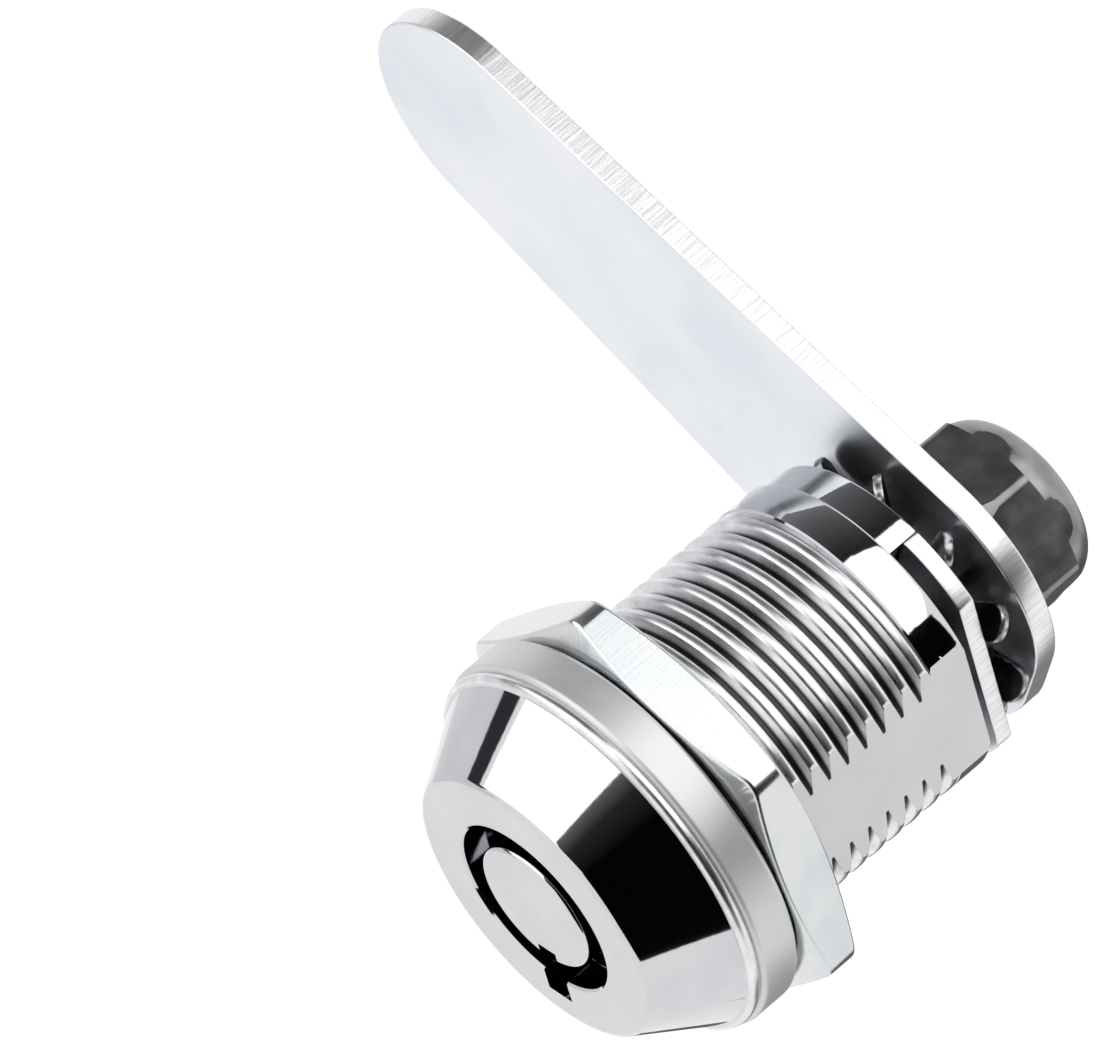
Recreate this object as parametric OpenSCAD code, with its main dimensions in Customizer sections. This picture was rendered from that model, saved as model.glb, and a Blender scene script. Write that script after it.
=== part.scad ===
// Tubular cam lock with a seven-pin mechanism, its mounting nut and a flat cam.
// The axis runs along Y: the key enters from -Y, the cam is at the +Y end.
// The origin is on the axis, at the back face of the flange, which seats on the panel.

/* [Head] */
// Length of the head in front of the panel
head_len = 7.4; // [7:0.1:10]
// Diameter of the flat front face
face_d = 16.4; // [15:0.1:18]
// Diameter of the flange that seats on the panel
flange_d = 22.5; // [21.5:0.1:28]
// Thickness of the flange
flange_t = 2.5; // [1.5:0.1:3.5]
// Height of the narrow bright rim in front of the flange
rim_t = 0.35; // [0.2:0.05:0.6]
// Step from the cone to the rim and from the rim to the flange
rim_step = 0.25; // [0.1:0.05:0.4]

/* [Keyway] */
// Diameter of the round keyway
keyway_d = 10.2; // [9.4:0.1:11]
// Diameter of the post in the middle of the keyway
post_d = 7.5; // [6.6:0.1:7.8]
// Depth of the notch outside the keyway, for the key's nib
notch_depth = 1.35; // [0.8:0.05:1.6]
// Width of the notch outside the keyway
notch_w = 1.7; // [1:0.1:2.2]
// Width of the notch in the post
post_notch_w = 1.3; // [0.8:0.1:1.8]
// Thickness of the front wall that the nib passes through
lip_t = 1.6; // [1:0.1:2]
// Length of the groove behind the front wall, in which the nib turns
groove_len = 2.6; // [2:0.1:3]

/* [Barrel] */
// Outer diameter of the threaded barrel
barrel_d = 17.8; // [16.5:0.1:21]
// Distance across the two flats of the barrel
barrel_flats = 16; // [15:0.1:18.5]
// Length of the barrel behind the panel seat
barrel_len = 16; // [15:0.5:26]
// Pitch of the barrel's thread
thread_pitch = 1.27; // [1:0.01:1.5]
// Depth of the barrel's thread
thread_depth = 0.5; // [0.3:0.05:0.6]
// Length without thread at the barrel's end
plain_len = 2.3; // [1.5:0.1:4]
// Length of the stop lug behind the barrel's end
lug_len = 1.9; // [1.5:0.1:2.6]
// Angle that the stop lug covers
lug_angle = 90; // [60:5:120]

/* [Mounting nut] */
// Distance across the flats of the mounting nut
nut_flats = 22.2; // [22:0.1:28]
// Thickness of the mounting nut
nut_t = 3.2; // [2:0.1:5]
// Angle of one corner of the nut, from +X towards +Z
nut_angle = 39; // [0:1:59]

/* [Lock mechanism] */
// Number of pin stacks
pin_count = 7; // [5:1:8]
// Diameter of the key pins and the driver pins
pin_d = 1.3; // [1:0.05:1.4]
// Overlap of the keyway's edge over the key pins, which keeps them in
pin_lip = 0.15; // [0.1:0.05:0.3]
// Lengths of the key pins, in order
key_pin_lengths = [3.9, 3.3, 4.2, 3.0, 3.6, 4.2, 3.3, 3.6]; // [3:0.1:4.4]
// Length of every driver pin
driver_len = 3; // [2:0.1:3.5]
// Travel of a driver pin against its spring
driver_travel = 2; // [1:0.1:2.4]
// Diameter of the chamber that holds the rotor and the pin bushing
chamber_d = 12.4; // [12:0.1:13]
// Length of the rotor's flange, which holds the key pins
rotor_len = 4.8; // [4.4:0.1:5.2]
// Depth of the spring holes in the pin bushing
spring_hole_len = 8; // [7:0.1:9]
// Diameter of the pin that holds the bushing in the housing
retainer_d = 1.6; // [1.2:0.1:2]
// Number of turns in each pin spring
spring_turns = 6; // [4:1:8]
// Wire diameter of the pin springs
spring_wire_d = 0.2; // [0.14:0.02:0.24]

/* [Cam and its fasteners] */
// Angle of the cam at rest, above -X
cam_rest_angle = 27; // [0:1:45]
// Distance from the axis to the centre of the cam's round tip
cam_reach = 32.6; // [20:0.1:60]
// Radius of the cam's round tip
cam_tip_r = 7; // [5:0.1:8]
// Radius of the cam's sides around the axis
cam_hub_r = 9.1; // [8:0.1:11]
// How far the cam extends behind the axis
cam_tail = 7.8; // [7:0.1:9]
// Radius of the corners between the cam's sides and its tail
cam_corner_r = 7.5; // [5:0.1:8]
// Thickness of the cam
cam_t = 1.4; // [1:0.1:3]
// Diameter of the spindle behind the bushing
spindle_d = 6.3; // [5.6:0.1:6.4]
// Distance across the spindle's four drive flats
drive_flats = 5.4; // [4.6:0.1:5.6]
// Radius of the stop washer
stop_r = 8.85; // [8.4:0.05:9.8]
// Distance from the axis to the stop washer's straight sides
stop_side = 7.3; // [6.8:0.1:8.2]
// Thickness of the stop washer
stop_t = 1; // [0.7:0.1:1.2]
// Radius of the toothed washer
tooth_r = 8.2; // [7:0.1:8.6]
// Number of teeth on the toothed washer
tooth_count = 10; // [8:1:12]
// Thickness of the toothed washer's sheet
tooth_sheet_t = 0.5; // [0.4:0.05:0.7]
// Room for the toothed washer between the stop washer and the cam
tooth_gap = 2; // [1.9:0.05:2.4]
// Distance across the flats of the end nut
end_nut_flats = 10; // [9:0.1:13]
// Height of the end nut, with its domed end
end_nut_h = 6.5; // [5.6:0.1:9]
// Height of the end nut's hexagon
end_nut_hex_h = 4.4; // [3.6:0.1:5]

/* [Hidden] */
key_pin_names = [for (i = [1:pin_count]) str("key_pin_", i)];
driver_pin_names = [for (i = [1:pin_count]) str("driver_pin_", i)];
spring_names = [for (i = [1:pin_count]) str("pin_spring_", i)];
$fn = 96;
eps = 0.01;
running_gap = 0.05;
seat_gap = 0.02;
nut_seat_gap = 0.1;

// Head, from front to back
keyway_r = keyway_d / 2;
cone_back_r = flange_d / 2 - 2 * rim_step;
rim_back_y = -flange_t;
rim_front_y = rim_back_y - rim_t;
edge_r = 0.3;
groove_front_y = -head_len + lip_t;
groove_back_y = groove_front_y + groove_len;
chamber_front_y = -0.9;

// Barrel
barrel_r = barrel_d / 2;
root_r = barrel_r - thread_depth;
thread_start_y = 0.7;
thread_end_y = barrel_len - plain_len;
thread_turns = floor((thread_end_y - thread_start_y) / thread_pitch);
thread_flank = thread_depth * tan(30);
chamber_r = chamber_d / 2;

// Mechanism: the shear line is where the key pins meet the driver pins.
// The stop washer ends just inside the stop lug, and the bushing ends just before the washer.
rotor_front_y = chamber_front_y + running_gap;
rotor_back_y = rotor_front_y + rotor_len;
shear_gap = 0.06;
bushing_front_y = rotor_back_y + shear_gap;
lug_end_y = barrel_len + lug_len;
stop_back_y = lug_end_y - 0.1;
stop_front_y = stop_back_y - stop_t;
bushing_back_y = stop_front_y - running_gap;
pin_r = pin_d / 2;
pin_circle_r = keyway_r + pin_lip - pin_r;
pin_hole_r = pin_r + running_gap;
driver_front_y = bushing_front_y;
driver_back_y = driver_front_y + driver_len;
spring_back_y = bushing_front_y + spring_hole_len;
retainer_y = bushing_front_y + 5;
retainer_inner_r = pin_circle_r + 0.15;
spindle_r = spindle_d / 2;

// Stack behind the barrel
tooth_mid_y = stop_back_y + tooth_gap / 2;
cam_front_y = stop_back_y + tooth_gap;
cam_back_y = cam_front_y + cam_t;
end_nut_back_y = cam_back_y + end_nut_h;
spindle_end_y = end_nut_back_y + 0.3;
tail_r = spindle_r - 0.15;
tail_pitch = 1;
tail_depth = 0.5;
cam_angle = 180 - cam_rest_angle;
lug_inner_r = chamber_r + 0.2;
stop_hub_r = chamber_r - 0.1;
stop_angle_gap = 0.5;

// Colours
chrome = "#c9ccd1";
zinc = "#bfc4cc";
steel = "#8b9097";
brass = "#c9a75a";

// Turns a shape drawn about Z so that its axis lies along +Y.
module along_y() rotate([-90, 0, 0]) children();

// Turns a shape drawn along local +X to an angle from +X towards +Z.
module at_angle(angle) rotate([0, 0, -angle]) children();

// A ring or disc of revolution about the axis, from its half outline.
module turned(outline) along_y() rotate_extrude() polygon(outline);

// A hexagonal prism along the axis, with one corner at the given angle.
module hex_prism(flats, length, angle) {
    at_angle(angle) cylinder(r = flats / 2 / cos(30), h = length, $fn = 6);
}

// Two cones that take the sharp corners off a hexagonal nut of height h.
module nut_chamfer_envelope(flats, h) {
    inner_r = flats / 2 * 0.96;
    drop = h * 0.45;
    outer_r = inner_r + drop / tan(20);
    rotate_extrude() polygon([
        [0, 0], [inner_r, 0], [outer_r, drop],
        [outer_r, h - drop], [inner_r, h], [0, h]]);
}

// A plate outline: a circle cut by four flats, for the spindle's drive section.
module drive_outline(clearance) {
    intersection() {
        circle(r = spindle_r + clearance);
        square(drive_flats + 2 * clearance, center = true);
    }
}

// The sector of a circle between two angles, drawn with a fan of points.
module sector(radius, start, end) {
    steps = 12;
    reach = radius / cos((end - start) / steps / 2);
    polygon(concat([[0, 0]], [for (i = [0:steps])
        let (a = start + (end - start) * i / steps) [reach * cos(a), -reach * sin(a)]]));
}

// The die-cast housing: head, threaded barrel with two flats, and the stop lug.
module housing() {
    thread_points = [for (i = [0:thread_turns - 1])
        let (y = thread_start_y + (i + 0.5) * thread_pitch)
        each [[barrel_r, y - thread_flank - 0.1], [root_r, y - 0.1],
              [root_r, y + 0.1], [barrel_r, y + thread_flank + 0.1]]];
    body_outline = concat(
        [[0, -head_len], [face_d / 2 - 0.1, -head_len], [face_d / 2, -head_len + 0.1],
         [cone_back_r, rim_front_y], [cone_back_r + rim_step, rim_front_y],
         [cone_back_r + rim_step, rim_back_y], [flange_d / 2 - edge_r, rim_back_y],
         [flange_d / 2, rim_back_y + edge_r], [flange_d / 2, -edge_r],
         [flange_d / 2 - edge_r, 0], [barrel_r, 0]],
        thread_points,
        [[barrel_r, thread_end_y], [barrel_r, barrel_len - 0.3],
         [barrel_r - 0.3, barrel_len], [0, barrel_len]]);
    color(chrome)
    difference() {
        union() {
            turned(body_outline);
            stop_lug();
        }
        for (side = [-1, 1])
            translate([side * (barrel_flats / 2 + barrel_r), barrel_len, 0])
                cube([2 * barrel_r, 2 * barrel_len, 3 * barrel_r], center = true);
        along_y() keyway_and_chamber();
        translate([-notch_w / 2, -head_len - eps, -keyway_r - notch_depth])
            cube([notch_w, lip_t + groove_len / 2, keyway_r + notch_depth]);
        retainer_hole();
    }
}

// The lug on the barrel's end that stops the stop washer at both ends of its turn.
module stop_lug() {
    along_y() translate([0, 0, barrel_len - eps]) linear_extrude(lug_len + eps)
        intersection() {
            difference() {
                circle(r = barrel_r - 0.3);
                circle(r = lug_inner_r);
            }
            sector(barrel_r + 1, cam_angle - 90 + stop_angle_gap,
                cam_angle - 90 + stop_angle_gap + lug_angle - 2 * stop_angle_gap);
        }
}

// The hollow of the housing: keyway, the nib's groove, and the chamber.
module keyway_and_chamber() {
    translate([0, 0, -head_len - 1]) cylinder(r = keyway_r, h = head_len + 2);
    translate([0, 0, groove_front_y]) cylinder(r = keyway_r + notch_depth, h = groove_len);
    translate([0, 0, chamber_front_y])
        cylinder(r = chamber_r, h = barrel_len + lug_len - chamber_front_y + 1);
}

// The radial hole for the bushing's retaining pin, below the thread's root.
module retainer_hole() {
    translate([0, retainer_y, -barrel_r - 1]) cylinder(d = retainer_d, h = barrel_r);
}

// The hexagonal nut that clamps the panel against the flange.
module mounting_nut() {
    bore_r = barrel_r + running_gap;
    color(zinc)
    translate([0, nut_seat_gap, 0]) along_y() difference() {
        intersection() {
            hex_prism(nut_flats, nut_t, nut_angle);
            nut_chamfer_envelope(nut_flats, nut_t);
        }
        translate([0, 0, -1]) cylinder(r = bore_r, h = nut_t + 2);
        for (flip = [0, 1])
            translate([0, 0, flip * nut_t]) mirror([0, 0, flip])
                translate([0, 0, -eps]) cylinder(r1 = bore_r + 0.5, r2 = bore_r, h = 0.5);
    }
}

// Repeats its children at each pin's place on the pin circle, about local Z.
function pin_angle(i) = -90 + (i + 0.5) * 360 / pin_count;
module at_pin(i) {
    a = pin_angle(i);
    translate([pin_circle_r * cos(a), 0, pin_circle_r * sin(a)]) along_y() children();
}

// The fixed bushing that holds the driver pins and their springs.
module pin_bushing() {
    color(brass)
    difference() {
        translate([0, bushing_front_y, 0]) along_y()
            cylinder(r = chamber_r - seat_gap, h = bushing_back_y - bushing_front_y);
        translate([0, bushing_front_y - 1, 0]) along_y()
            cylinder(r = spindle_r + running_gap, h = bushing_back_y - bushing_front_y + 2);
        for (i = [0:pin_count - 1])
            at_pin(i) translate([0, 0, bushing_front_y - 1])
                cylinder(r = pin_hole_r, h = spring_hole_len + 1, $fn = 32);
        translate([0, retainer_y, -chamber_r - 1])
            cylinder(d = retainer_d, h = chamber_r + 1 - retainer_inner_r, $fn = 32);
    }
}

// The short pin through the barrel's wall that keeps the bushing from turning.
module bushing_retainer() {
    color(steel)
    translate([0, retainer_y, -root_r + 0.1])
        cylinder(r = retainer_d / 2 - seat_gap, h = root_r - 0.1 - retainer_inner_r - seat_gap, $fn = 48);
}

// The rotor: keyway post, flange with the key pin holes, shaft, drive flats and tail.
module spindle() {
    tail_start_y = cam_back_y - 0.2;
    tail_turns = floor((spindle_end_y - 0.5 - tail_start_y) / tail_pitch);
    tail_points = [for (i = [0:tail_turns - 1])
        let (y = tail_start_y + (i + 0.5) * tail_pitch)
        each [[tail_r, y - 0.35], [tail_r - tail_depth, y - 0.05],
              [tail_r - tail_depth, y + 0.05], [tail_r, y + 0.35]]];
    outline = concat(
        [[0, -head_len], [post_d / 2 - 0.15, -head_len], [post_d / 2, -head_len + 0.15],
         [post_d / 2, rotor_front_y], [chamber_r - running_gap, rotor_front_y],
         [chamber_r - running_gap, rotor_back_y], [spindle_r, rotor_back_y],
         [spindle_r, tail_start_y], [tail_r, tail_start_y]],
        tail_points,
        [[tail_r, spindle_end_y - 0.5], [tail_r - 0.5, spindle_end_y], [0, spindle_end_y]]);
    color(zinc)
    difference() {
        turned(outline);
        drive_length = cam_back_y - stop_front_y;
        translate([0, stop_front_y, 0]) along_y() linear_extrude(drive_length)
            difference() {
                circle(r = spindle_r + 1);
                at_angle(cam_angle) drive_outline(0);
            }
        for (i = [0:pin_count - 1])
            at_pin(i) translate([0, 0, rotor_front_y - eps])
                cylinder(r = pin_hole_r, h = rotor_len + 1, $fn = 32);
        translate([-post_notch_w / 2, -head_len - 1, -post_d / 2 - 1])
            cube([post_notch_w, lip_t + groove_len + 1, 1 + 0.75]);
    }
}

// A key pin: flat at the shear line, rounded where the key presses it.
module key_pin(i) {
    length = key_pin_lengths[i];
    color(brass)
    at_pin(i) translate([0, 0, rotor_back_y - length]) rotate_extrude()
        polygon([[0, 0], [pin_r - 0.2, 0], [pin_r, 0.2], [pin_r, length], [0, length]]);
}

// A driver pin, resting at the shear line with its spring behind it.
module driver_pin(i) {
    color(steel)
    at_pin(i) translate([0, 0, driver_front_y]) cylinder(r = pin_r, h = driver_len, $fn = 32);
}

// A coil spring between a driver pin and the bottom of its hole.
module pin_spring(i) {
    sides = 5;
    steps = 10;
    wire_r = spring_wire_d / 2;
    coil_r = pin_r - wire_r - 0.02;
    front = driver_back_y + wire_r + seat_gap;
    back = spring_back_y - wire_r - seat_gap;
    rings = spring_turns * steps;
    points = [for (k = [0:rings], s = [0:sides - 1])
        let (a = k * 360 / steps, b = s * 360 / sides, r = coil_r + wire_r * cos(b))
        [r * cos(a), r * sin(a), front + (back - front) * k / rings + wire_r * sin(b)]];
    sides_faces = [for (k = [0:rings - 1], s = [0:sides - 1])
        let (n = (s + 1) % sides)
        each [[k * sides + s, (k + 1) * sides + s, (k + 1) * sides + n],
              [k * sides + s, (k + 1) * sides + n, k * sides + n]]];
    caps = [[for (s = [0:sides - 1]) s], [for (s = [sides - 1:-1:0]) rings * sides + s]];
    color(steel)
    at_pin(i) polyhedron(points, concat(sides_faces, caps));
}

// The stop washer: its wide half meets the lug at both ends of the quarter turn.
module stop_washer() {
    wide_start = cam_angle - 90;
    color(zinc)
    translate([0, stop_front_y, 0]) along_y() linear_extrude(stop_t)
        difference() {
            union() {
                circle(r = stop_hub_r);
                intersection() {
                    circle(r = stop_r);
                    square([2 * stop_side, 4 * stop_r], center = true);
                    sector(3 * stop_r, wide_start - 180, wide_start);
                }
            }
            at_angle(cam_angle) drive_outline(running_gap);
        }
}

// The toothed lock washer: a thin ring with twisted teeth around it.
module toothed_washer() {
    ring_r = tooth_r - 2.3;
    tooth_twist = -40;
    tooth_reach = tooth_gap / 2 - 0.15 - tooth_sheet_t / 2 * cos(tooth_twist);
    tooth_w = 2 * tooth_reach / sin(-tooth_twist);
    color(steel)
    translate([0, tooth_mid_y, 0]) along_y() difference() {
        union() {
            translate([0, 0, -tooth_sheet_t / 2]) cylinder(r = ring_r, h = tooth_sheet_t);
            for (i = [0:tooth_count - 1])
                at_angle(17 + i * 360 / tooth_count) rotate([tooth_twist, 0, 0])
                    translate([(ring_r - 0.4 + tooth_r) / 2, 0, 0])
                        cube([tooth_r - ring_r + 0.4, tooth_w, tooth_sheet_t], center = true);
        }
        translate([0, 0, -2]) cylinder(r = spindle_r + 0.15, h = 4);
    }
}

// The cam's outline along local +X: a tapered arm with a round tip and a full, rounded tail.
module cam_outline() {
    corner_z = cam_hub_r - cam_corner_r;
    corner_x = cam_corner_r - cam_tail;
    corner_to_tip = norm([cam_reach - corner_x, corner_z]);
    taper = asin((cam_corner_r - cam_tip_r) / corner_to_tip)
        + atan2(corner_z, cam_reach - corner_x);
    tip_x = cam_reach + cam_tip_r * sin(taper);
    tip_z = cam_tip_r * cos(taper);
    side_x = corner_x + cam_corner_r * sin(taper);
    side_z = corner_z + cam_corner_r * cos(taper);
    translate([cam_reach, 0]) circle(r = cam_tip_r);
    for (side = [-1, 1])
        translate([corner_x, side * corner_z]) circle(r = cam_corner_r);
    polygon([[side_x, -side_z], [tip_x, -tip_z], [tip_x, tip_z], [side_x, side_z],
             [corner_x, corner_z], [-cam_tail, corner_z],
             [-cam_tail, -corner_z], [corner_x, -corner_z]]);
}

// The flat cam that reaches behind the frame when the lock is shut.
module cam() {
    color(zinc)
    translate([0, cam_front_y, 0]) along_y() linear_extrude(cam_t)
        at_angle(cam_angle) difference() {
            cam_outline();
            drive_outline(running_gap);
        }
}

// The half outline that the end nut is turned to: bevelled corners, then a low dome.
module end_nut_envelope() {
    corner_r = end_nut_flats / 2 / cos(30);
    dome_r = end_nut_flats / 2 + 0.15;
    round_r = min(2.2, end_nut_h - end_nut_hex_h);
    rotate_extrude() {
        polygon([
            [0, 0], [corner_r - 0.42, 0], [corner_r + 0.05, 3.2],
            [corner_r + 0.05, end_nut_hex_h - 0.3], [dome_r, end_nut_hex_h],
            [dome_r, end_nut_h - round_r], [dome_r - round_r, end_nut_h - round_r],
            [dome_r - round_r, end_nut_h], [0, end_nut_h]]);
        translate([dome_r - round_r, end_nut_h - round_r]) intersection() {
            circle(r = round_r);
            square(round_r);
        }
    }
}

// The hexagonal nut on the spindle's tail, which clamps the cam.
module end_nut() {
    end_nut_angle = -5;
    color(steel)
    translate([0, cam_back_y, 0]) along_y() difference() {
        intersection() {
            hex_prism(end_nut_flats, end_nut_h, end_nut_angle);
            end_nut_envelope();
        }
        translate([0, 0, -1]) cylinder(r = tail_r + seat_gap, h = end_nut_h + 2);
    }
}

housing();
mounting_nut();
pin_bushing();
bushing_retainer();
spindle();
stop_washer();
toothed_washer();
cam();
end_nut();
for (i = [0:pin_count - 1]) {
    key_pin(i);
    driver_pin(i);
    pin_spring(i);
}
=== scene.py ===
"""Tubular cam lock: the visible model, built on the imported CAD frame.

Lengths are in metres. The lock's axis runs along Y, with the keyway at -Y and the cam at +Y.
"""
import math

import bmesh
import bpy
from mathutils import Matrix, Vector


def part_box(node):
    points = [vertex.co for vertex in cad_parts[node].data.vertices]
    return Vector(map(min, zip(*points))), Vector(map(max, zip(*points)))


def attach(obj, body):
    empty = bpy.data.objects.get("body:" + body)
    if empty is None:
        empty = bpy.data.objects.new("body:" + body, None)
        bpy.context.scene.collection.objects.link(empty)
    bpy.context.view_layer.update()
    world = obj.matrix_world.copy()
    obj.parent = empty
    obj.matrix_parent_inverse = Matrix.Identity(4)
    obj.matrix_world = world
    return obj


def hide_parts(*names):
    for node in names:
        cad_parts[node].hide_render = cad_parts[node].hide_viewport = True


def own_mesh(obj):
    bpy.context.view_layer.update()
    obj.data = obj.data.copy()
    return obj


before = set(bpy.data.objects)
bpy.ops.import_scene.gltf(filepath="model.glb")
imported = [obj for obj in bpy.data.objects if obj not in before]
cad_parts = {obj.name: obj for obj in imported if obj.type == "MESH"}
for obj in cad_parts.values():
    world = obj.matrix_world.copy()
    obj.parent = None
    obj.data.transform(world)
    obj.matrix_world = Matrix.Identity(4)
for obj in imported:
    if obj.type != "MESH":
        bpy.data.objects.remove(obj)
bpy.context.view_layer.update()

MM = 0.001

# ---------------------------------------------------------------- sizes, from the frame

housing_low, housing_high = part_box("housing")
nut_low, nut_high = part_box("mounting_nut")
spindle_low, spindle_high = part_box("spindle")
stop_low, stop_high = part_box("stop_washer")
tooth_low, tooth_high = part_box("toothed_washer")
cam_low, cam_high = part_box("cam")
end_nut_low, end_nut_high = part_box("end_nut")

FACE_Y = housing_low.y
FLANGE_R = housing_high.x
FLANGE_T = 2.5 * MM
RIM_T = 0.35 * MM
RIM_STEP = 0.25 * MM
FACE_R = 8.2 * MM
KEYWAY_R = 5.1 * MM
POST_R = 3.75 * MM
NOTCH_DEPTH = 1.35 * MM
NOTCH_W = 1.7 * MM
POST_NOTCH_W = 1.3 * MM
LIP_T = 1.6 * MM
GROOVE_LEN = 2.6 * MM
CHAMBER_R = 6.2 * MM
CHAMBER_FRONT = -0.9 * MM

BARREL_R = 8.9 * MM
BARREL_LEN = 16 * MM
FLAT_X = 8 * MM
THREAD_PITCH = 1.27 * MM
THREAD_DEPTH = 0.55 * MM
THREAD_END = BARREL_LEN - 2.3 * MM
LUG_END = housing_high.y
LUG_ANGLE = 90

SPINDLE_R = 3.15 * MM
DRIVE_FLATS = 5.4 * MM
TAIL_R = 3 * MM
TAIL_PITCH = 1 * MM
CAM_ANGLE = 180 - 27
CAM_REACH = 32.6 * MM
CAM_TIP_R = 7 * MM
CAM_HUB_R = 9.1 * MM
CAM_TAIL = 7.8 * MM
CAM_CORNER_R = 7.5 * MM
STOP_R = 8.85 * MM
STOP_SIDE = 7.3 * MM
TOOTH_R = 8.2 * MM
TOOTH_COUNT = 10
TOOTH_START = 17
TOOTH_W = 2.05 * MM
NUT_FLATS = 22.2 * MM
NUT_ANGLE = 39
END_NUT_FLATS = 10 * MM
END_NUT_ANGLE = -5
END_NUT_HEX = 4.4 * MM


# ---------------------------------------------------------------- mesh tools

def on_circle(radius, degrees, y=0.0):
    """A point about the lock's axis, at an angle from +X towards +Z."""
    angle = math.radians(degrees)
    return Vector((radius * math.cos(angle), y, radius * math.sin(angle)))


def new_object(name, mesh):
    obj = bpy.data.objects.new(name, mesh)
    bpy.context.scene.collection.objects.link(obj)
    return obj


def mesh_object(name, points, faces):
    mesh = bpy.data.meshes.new(name)
    mesh.from_pydata([tuple(p) for p in points], [], faces)
    mesh.validate()
    obj = new_object(name, mesh)
    recalculate_normals(obj)
    return obj


def recalculate_normals(obj):
    work = bmesh.new()
    work.from_mesh(obj.data)
    bmesh.ops.recalc_face_normals(work, faces=work.faces)
    work.to_mesh(obj.data)
    work.free()


def lathe(name, outline, segments=160):
    """A closed outline of (radius, y) turned about the axis. A radius of 0 closes at the axis."""
    points = []
    rings = []
    for radius, y in outline:
        if radius <= 1e-9:
            rings.append([len(points)] * segments)
            points.append(Vector((0, y, 0)))
        else:
            rings.append(list(range(len(points), len(points) + segments)))
            points += [on_circle(radius, 360 * i / segments, y) for i in range(segments)]
    faces = []
    for k, ring in enumerate(rings):
        following = rings[(k + 1) % len(rings)]
        for i in range(segments):
            j = (i + 1) % segments
            face = []
            for index in (ring[i], ring[j], following[j], following[i]):
                if index not in face:
                    face.append(index)
            if len(face) > 2:
                faces.append(face)
    return mesh_object(name, points, faces)


def arc(centre, radius, start, end, steps=6):
    """Points of an arc in an outline, as (radius, y) pairs, from one angle to another."""
    angles = [math.radians(start + (end - start) * i / steps) for i in range(steps + 1)]
    return [(centre[0] + radius * math.cos(a), centre[1] + radius * math.sin(a)) for a in angles]


def helix_thread(name, crest_r, root_r, inner_r, pitch, start, end, segments=144):
    """A tube whose outside is a helical thread with a flat crest and a narrow root."""
    depth = crest_r - root_r
    flank = depth * math.tan(math.radians(30))
    root_half = 0.07 * pitch
    corner = 0.05 * pitch
    profile = [
        (0.0, root_r), (root_half, root_r),
        (root_half + flank * 0.85, crest_r - depth * 0.12),
        (root_half + flank + corner, crest_r),
        (pitch / 2, crest_r + depth * 0.02),
        (pitch - root_half - flank - corner, crest_r),
        (pitch - root_half - flank * 0.85, crest_r - depth * 0.12),
        (pitch - root_half, root_r)]
    per_turn = len(profile)
    rows = int((end - start) / pitch) * per_turn + 1
    points = []
    for j in range(rows):
        offset, radius = profile[j % per_turn]
        for i in range(segments):
            y = start + (j // per_turn) * pitch + offset + pitch * i / segments
            points.append(on_circle(radius, -360 * i / segments, y))

    def outer(j, i):
        return j * segments + i if i < segments else (j + per_turn) * segments

    faces = []
    for j in range(rows - 1 - per_turn):
        for i in range(segments):
            faces.append([outer(j, i), outer(j, i + 1), outer(j + 1, i + 1), outer(j + 1, i)])
    # The last turn has no neighbour across the seam, so both ends close onto an inner tube.
    last = rows - 1 - per_turn
    low_loop = [outer(0, i) for i in range(segments)]
    low_loop += [outer(j, 0) for j in range(per_turn, 0, -1)]
    high_loop = [outer(last, i) for i in range(segments)]
    high_loop += [outer(last + j, 0) for j in range(per_turn, 0, -1)]
    for loop in (low_loop, high_loop):
        base = len(points)
        for index in loop:
            point = points[index]
            scale = inner_r / math.hypot(point.x, point.z)
            points.append(Vector((point.x * scale, point.y, point.z * scale)))
        for k in range(len(loop)):
            n = (k + 1) % len(loop)
            faces.append([loop[k], loop[n], base + n, base + k])
    low_base = len(points) - 2 * len(low_loop)
    high_base = len(points) - len(high_loop)
    for k in range(len(low_loop)):
        n = (k + 1) % len(low_loop)
        faces.append([low_base + k, low_base + n, high_base + n, high_base + k])
    return mesh_object(name, points, faces)


def prism(name, outline, low_y, high_y):
    """An outline of (x, z) points carried from low_y to high_y."""
    count = len(outline)
    points = [Vector((x, y, z)) for y in (low_y, high_y) for x, z in outline]
    faces = [list(range(count)), list(range(2 * count - 1, count - 1, -1))]
    for k in range(count):
        n = (k + 1) % count
        faces.append([k, n, count + n, count + k])
    return mesh_object(name, points, faces)


def apply_modifiers(obj):
    depsgraph = bpy.context.evaluated_depsgraph_get()
    depsgraph.update()
    mesh = bpy.data.meshes.new_from_object(obj.evaluated_get(depsgraph))
    old = obj.data
    obj.modifiers.clear()
    obj.data = mesh
    bpy.data.meshes.remove(old)


def combine(obj, tool, operation):
    """Joins, cuts or intersects obj with tool, then deletes the tool."""
    step = obj.modifiers.new("combine", "BOOLEAN")
    step.object = tool
    step.operation = operation
    step.solver = "EXACT"
    apply_modifiers(obj)
    bpy.data.objects.remove(tool)
    return obj


def bevel_edges(obj, width, segments=3, angle=30):
    step = obj.modifiers.new("bevel", "BEVEL")
    step.width = width
    step.segments = segments
    step.limit_method = "ANGLE"
    step.angle_limit = math.radians(angle)
    step.harden_normals = False
    apply_modifiers(obj)
    return obj


def smooth(obj, angle=32):
    """Smooth shading led by the large faces, with edges sharper than the angle left crisp."""
    obj.data.shade_smooth()
    obj.data.set_sharp_from_angle(angle=math.radians(angle))
    step = obj.modifiers.new("face_weights", "WEIGHTED_NORMAL")
    step.keep_sharp = True
    apply_modifiers(obj)
    return obj


def circle_outline(radius, count=128, start=0.0, end=360.0):
    full = abs(end - start - 360) < 1e-6
    steps = count if full else count - 1
    return [(radius * math.cos(math.radians(start + (end - start) * i / steps)),
             radius * math.sin(math.radians(start + (end - start) * i / steps)))
            for i in range(count)]


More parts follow.
